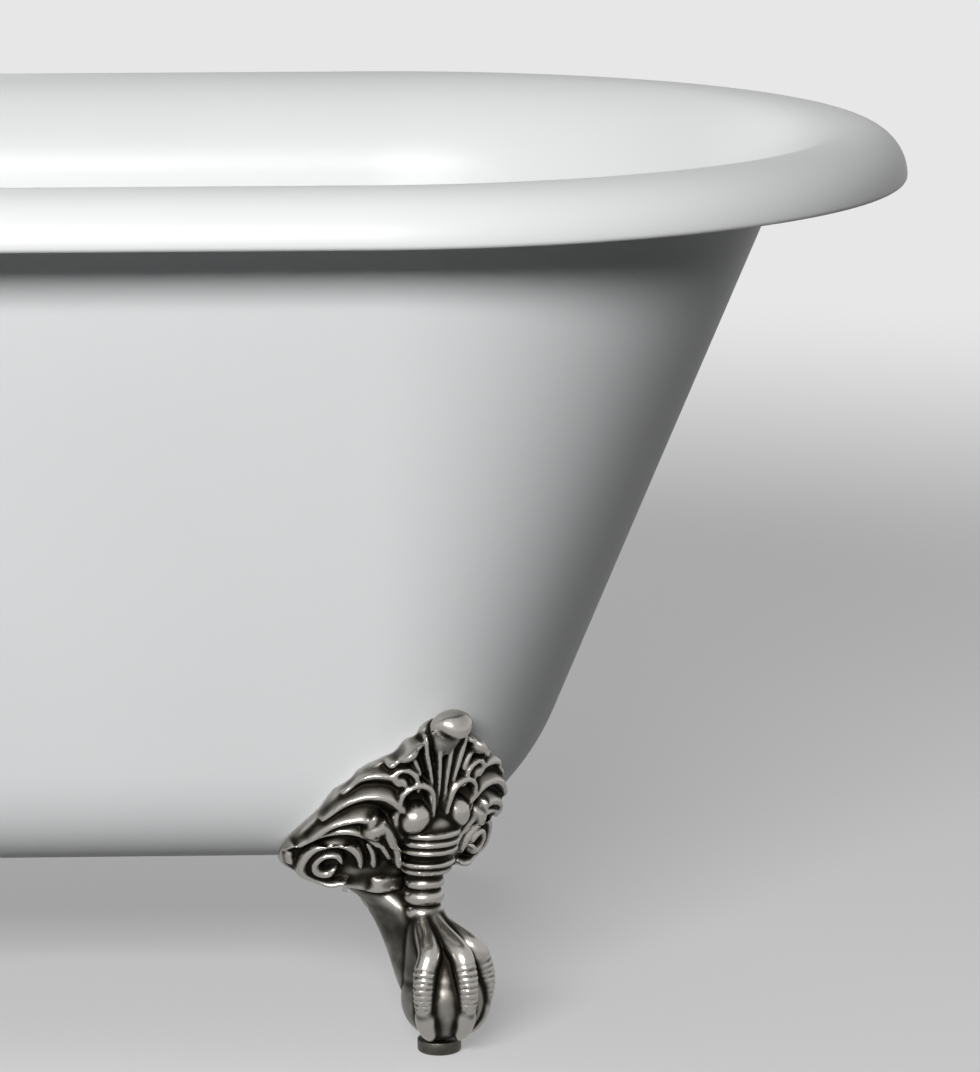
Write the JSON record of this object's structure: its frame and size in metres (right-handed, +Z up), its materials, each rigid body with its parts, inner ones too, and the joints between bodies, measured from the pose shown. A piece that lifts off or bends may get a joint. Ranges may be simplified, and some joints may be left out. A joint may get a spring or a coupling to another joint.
{
  "type": "clawfoot bathtub",
  "caption": "Free-standing double-ended roll-top bath in white enamelled cast iron on claw-and-ball feet, with levelling pads, pop-up waste and overflow.",
  "frame": {"origin": "on the floor under the middle of the bath", "axes": "+X along the bath, +Y to the rear side with the overflow, +Z up"},
  "size_m": [1.7, 0.76, 0.61],
  "materials": {
    "enamel": "gloss white vitreous enamel over cast iron",
    "aged_pewter": "antique pewter with dark recesses",
    "chrome": "polished",
    "brass": "machined",
    "plated_steel": "zinc plated",
    "rubber": "matte",
    "cable_sleeve": "matte"
  },
  "bodies": {
    "tub": {"tub_shell": "enamel", "foot_front_right": "aged_pewter", "foot_front_left": "aged_pewter", "foot_rear_right": "aged_pewter", "foot_rear_left": "aged_pewter", "foot_bolts": "plated_steel", "foot_bolt_washers": "plated_steel", "waste_flange": "chrome", "waste_seal_upper": "rubber", "waste_seal_lower": "rubber", "waste_backnut": "brass", "waste_body": "brass", "waste_tailpiece": "chrome", "tailpiece_nut": "chrome", "lift_lever_pin": "plated_steel", "overflow_faceplate": "chrome", "overflow_seal_inner": "rubber", "overflow_seal_outer": "rubber", "overflow_elbow": "chrome", "overflow_pipe": "chrome", "overflow_pipe_nuts": "chrome", "control_cable": "cable_sleeve"},
    "plug": {"waste_plug": "chrome", "plug_seal": "rubber"},
    "lever": {"lift_lever": "brass"},
    "knob": {"overflow_knob": "chrome", "overflow_spindle": "brass"},
    "pad_front_right": {"levelling_pad_front_right": "aged_pewter"},
    "pad_front_left": {"levelling_pad_front_left": "aged_pewter"},
    "pad_rear_right": {"levelling_pad_rear_right": "aged_pewter"},
    "pad_rear_left": {"levelling_pad_rear_left": "aged_pewter"}
  },
  "joints": [
    {"name": "knob_turn", "type": "hinge", "parent": "tub", "child": "knob", "pos_m": [0, 0.27214, 0.48], "axis": [0, -0.9906, 0.1369], "range_deg": [0, 90]},
    {"name": "lever_tip", "type": "hinge", "parent": "tub", "child": "lever", "pos_m": [0, -0.016, 0.08], "axis": [1, 0, 0], "range_deg": [0, 34.71]},
    {"name": "plug_lift", "type": "slide", "parent": "tub", "child": "plug", "axis": [0, 0, 1], "range_m": [0, 0.01]},
    {"name": "pad_screw_front_right", "type": "slide", "parent": "tub", "child": "pad_front_right", "axis": [0, 0, -1], "range_m": [0, 0.01]},
    {"name": "pad_screw_front_left", "type": "slide", "parent": "tub", "child": "pad_front_left", "axis": [0, 0, -1], "range_m": [0, 0.01]},
    {"name": "pad_screw_rear_right", "type": "slide", "parent": "tub", "child": "pad_rear_right", "axis": [0, 0, -1], "range_m": [0, 0.01]},
    {"name": "pad_screw_rear_left", "type": "slide", "parent": "tub", "child": "pad_rear_left", "axis": [0, 0, -1], "range_m": [0, 0.01]}
  ],
  "couplings": [
    {"joint": "lever_tip", "follows": "knob_turn", "ratio": 0.38564},
    {"joint": "plug_lift", "follows": "knob_turn", "m_per_rad": 0.0063661}
  ]
}
